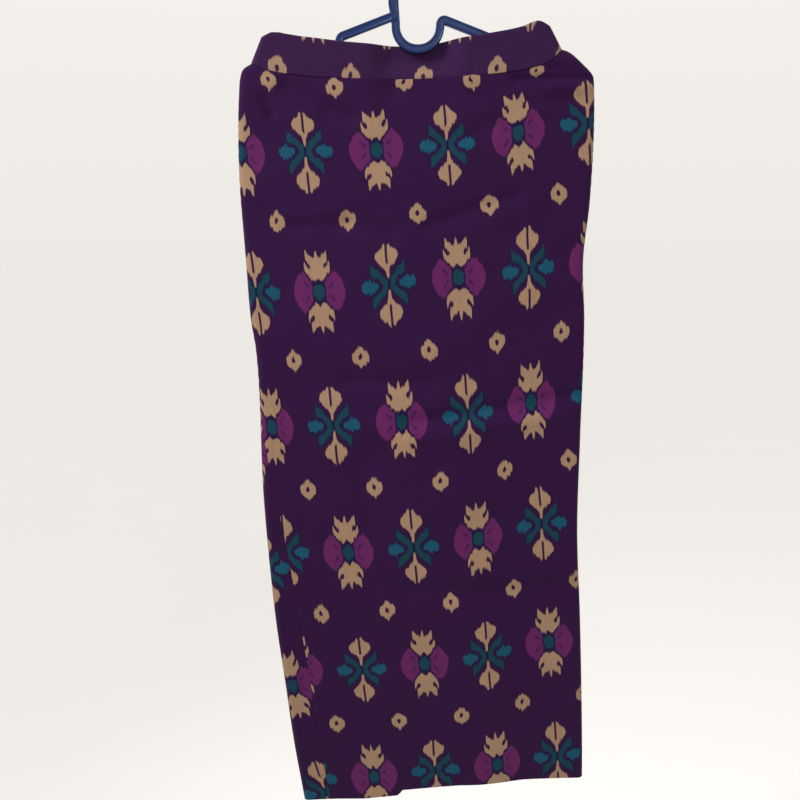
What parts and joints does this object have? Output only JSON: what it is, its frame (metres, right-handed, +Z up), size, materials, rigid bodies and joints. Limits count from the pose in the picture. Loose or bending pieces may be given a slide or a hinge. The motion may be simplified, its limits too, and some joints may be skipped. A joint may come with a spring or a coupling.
{
  "type": "long pencil skirt on a hanger",
  "caption": "Long straight skirt of printed cotton with a gathered elastic waist, hanging flat and slightly askew from a one-piece plastic hanger.",
  "frame": {"origin": "inside top of the hook's arc, where a rail bears", "axes": "+Z up, +X to the right as seen from the front, the front faces -Y"},
  "size_m": [0.4495, 0.0352, 1.1222],
  "materials": {
    "printed_cotton": "matt plain-woven cotton, deep purple ground with a beige, magenta and teal print",
    "hanger_plastic": "navy blue injection-moulded plastic, soft gloss"
  },
  "bodies": {
    "root": {"front_panel": "printed_cotton", "back_panel": "printed_cotton", "waistband_front": "printed_cotton", "waistband_back": "printed_cotton", "hanger": "hanger_plastic"}
  },
  "joints": []
}
